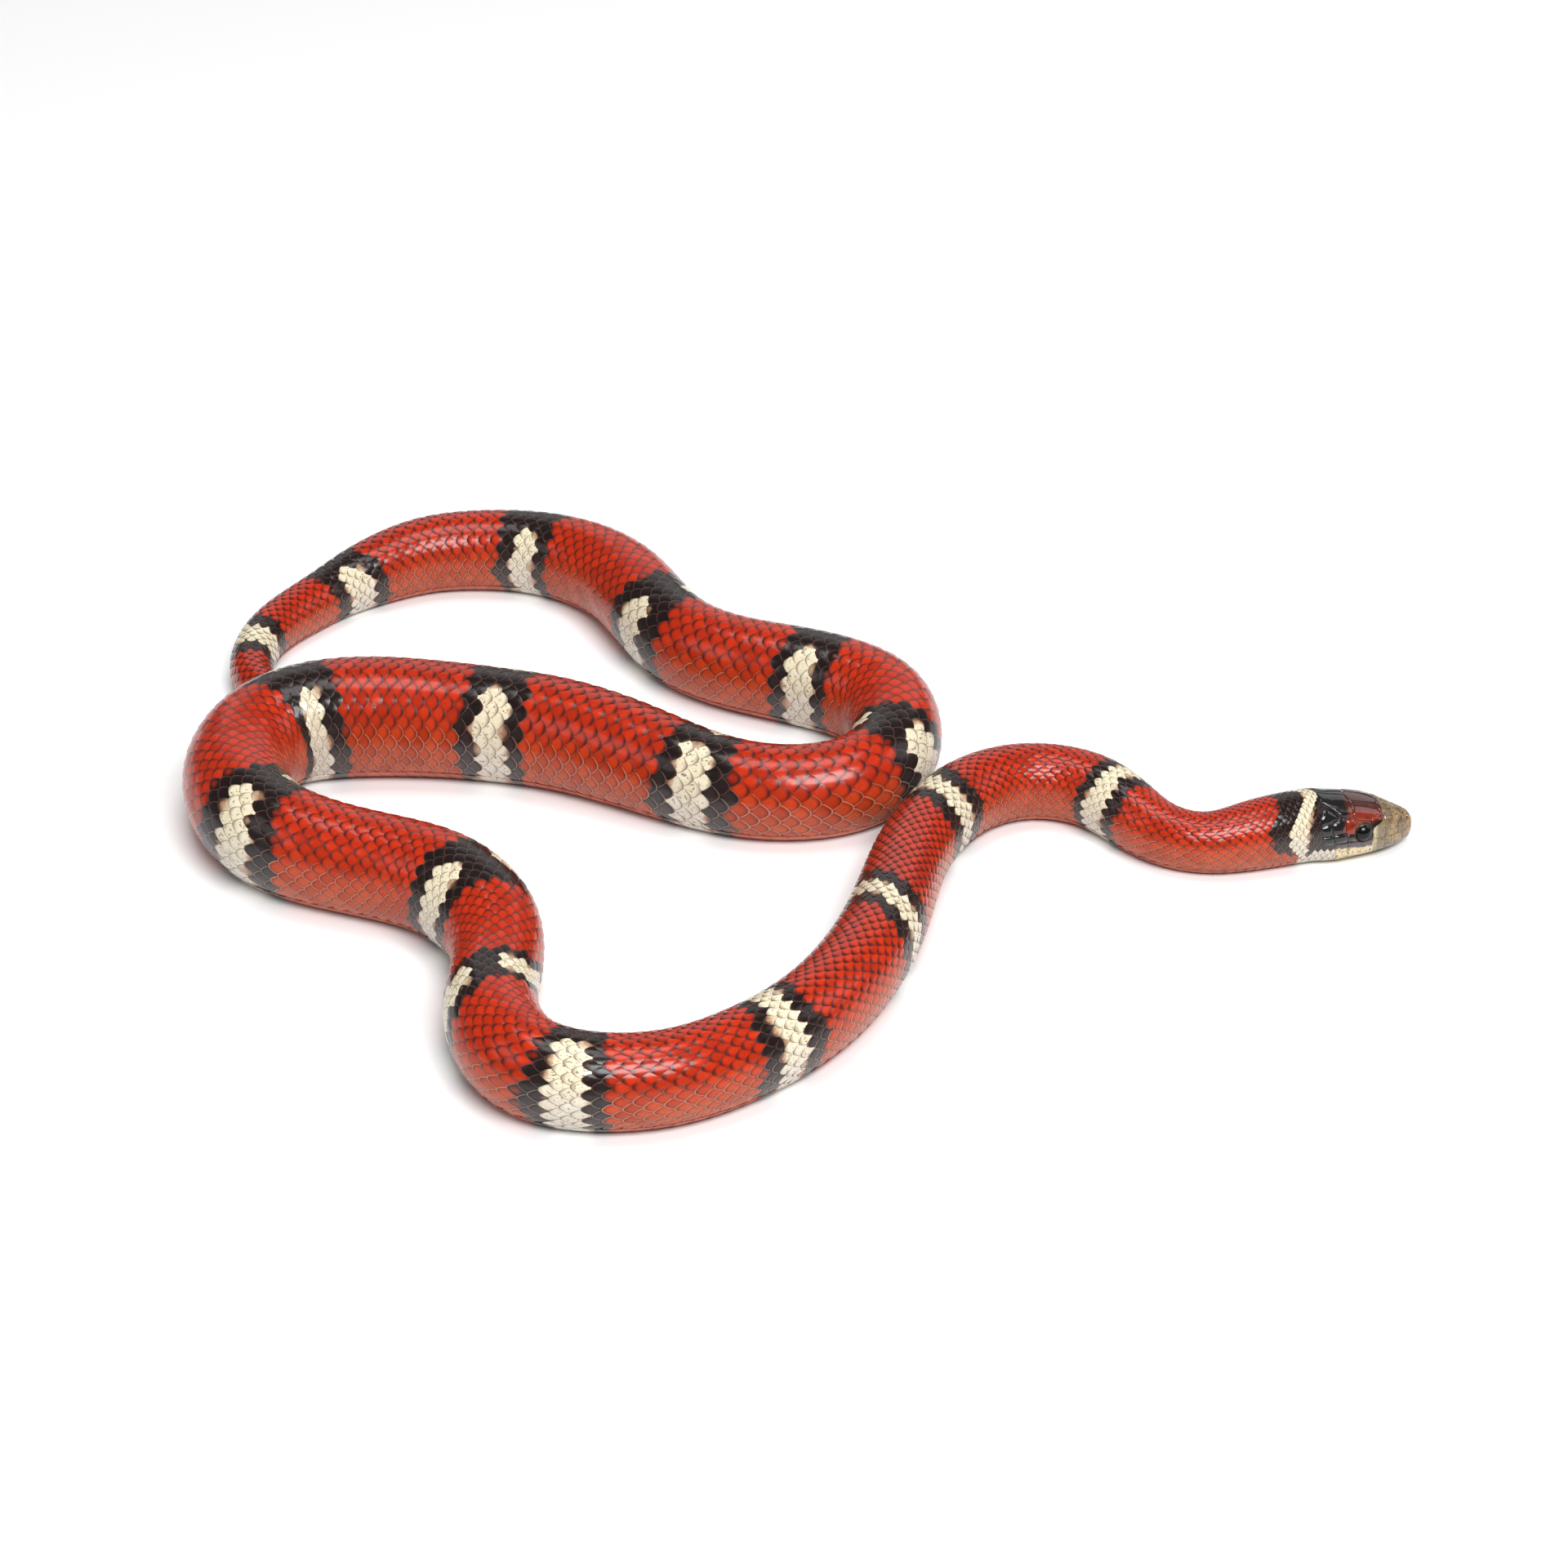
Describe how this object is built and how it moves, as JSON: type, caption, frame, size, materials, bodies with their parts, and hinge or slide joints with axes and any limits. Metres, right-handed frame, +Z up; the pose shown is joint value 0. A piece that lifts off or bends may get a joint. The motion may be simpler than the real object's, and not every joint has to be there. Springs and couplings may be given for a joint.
{
  "type": "milk snake",
  "caption": "Still life-size banded snake resting on its belly in loose S-shaped bends, with an oval head, smooth round body and a tapering tail.",
  "frame": {"origin": "middle of the object's box on the floor that the belly rests on", "axes": "+X to the viewer's right, where the head points, +Y away from the viewer, +Z up"},
  "size_m": [0.2944, 0.2524, 0.0285],
  "materials": {
    "scaled_skin": "smooth scaled skin with a satin gloss, red with black and cream bands",
    "head_shields": "glossy black head shields with a cream collar and a pale speckled snout",
    "eye": "wet gloss, dark iris"
  },
  "bodies": {
    "root": {"head": "head_shields", "eye_left": "eye", "eye_right": "eye", "neck": "scaled_skin", "body_1": "scaled_skin", "body_2": "scaled_skin", "body_3": "scaled_skin", "body_4": "scaled_skin", "body_5": "scaled_skin", "body_6": "scaled_skin", "body_7": "scaled_skin", "body_8": "scaled_skin", "body_9": "scaled_skin", "tail_1": "scaled_skin", "tail_2": "scaled_skin"}
  },
  "joints": []
}
